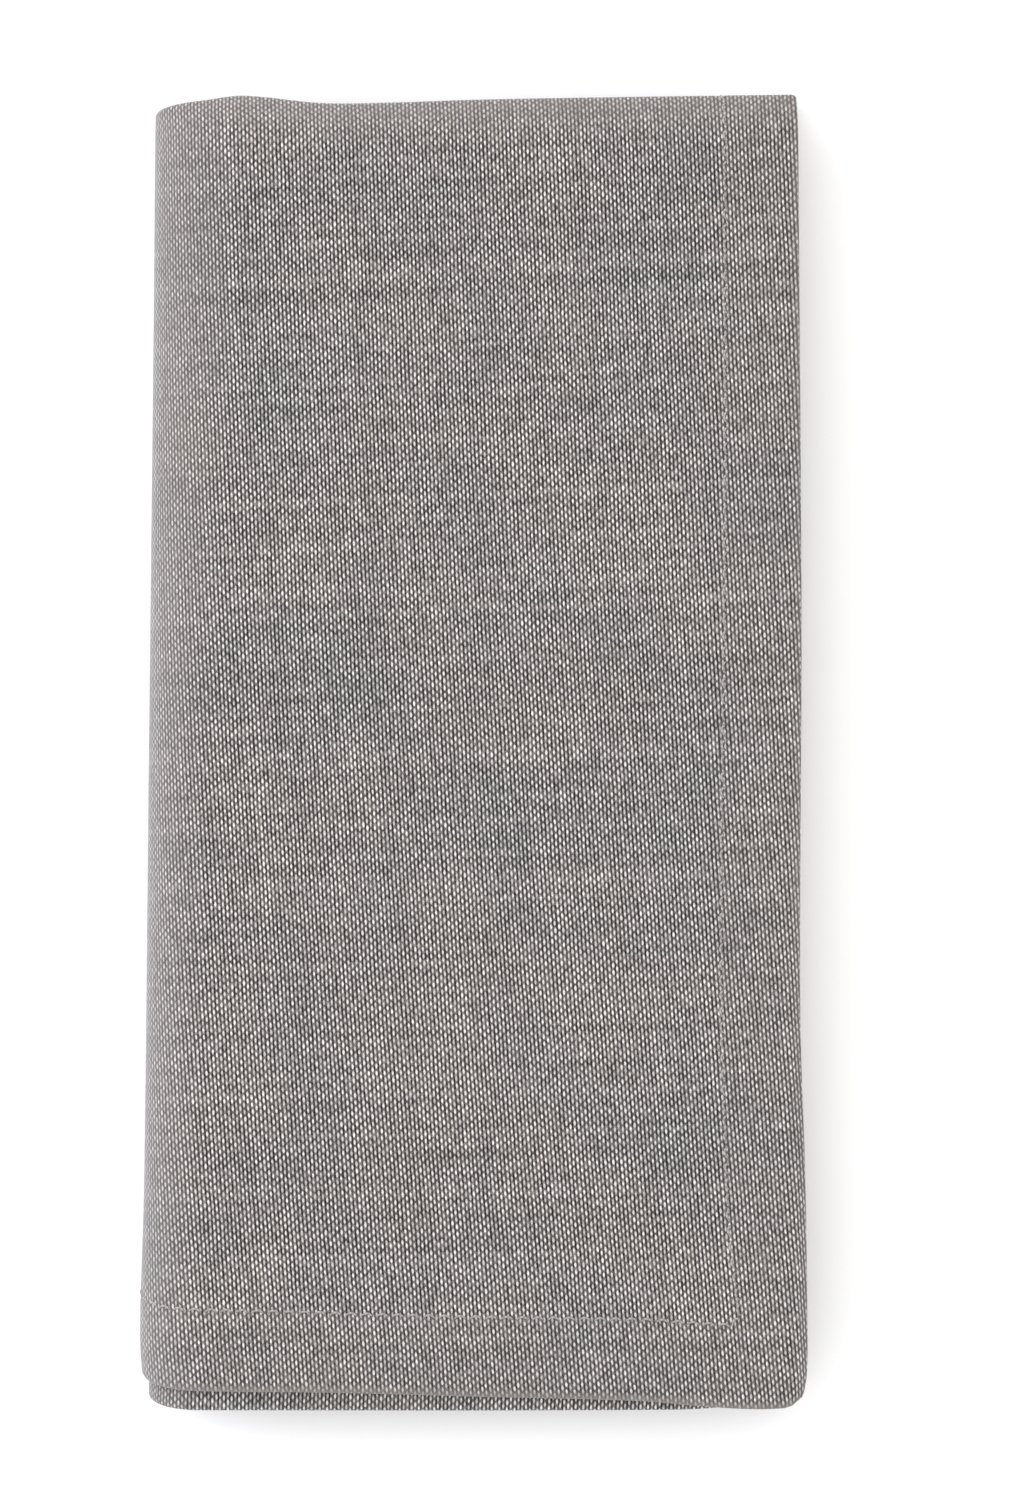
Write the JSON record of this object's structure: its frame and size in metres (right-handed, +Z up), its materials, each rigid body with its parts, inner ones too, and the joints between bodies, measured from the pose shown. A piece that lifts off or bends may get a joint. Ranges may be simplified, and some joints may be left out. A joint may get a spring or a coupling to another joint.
{
  "type": "folded table runner",
  "caption": "Plain-woven cotton table runner with wide stitched hems, folded back and forth and then in half, lying flat.",
  "frame": {"origin": "middle of the footprint, on the surface that the runner lies on", "axes": "+X from the folded long edge to the open long edges, +Y from the hem at the front to the fold at the back, +Z up"},
  "size_m": [0.1566, 0.3086, 0.024],
  "materials": {
    "cotton_cloth": "coarse plain weave in grey, with pale and dark threads"
  },
  "bodies": {
    "root": {"runner_cloth": "cotton_cloth"}
  },
  "joints": []
}
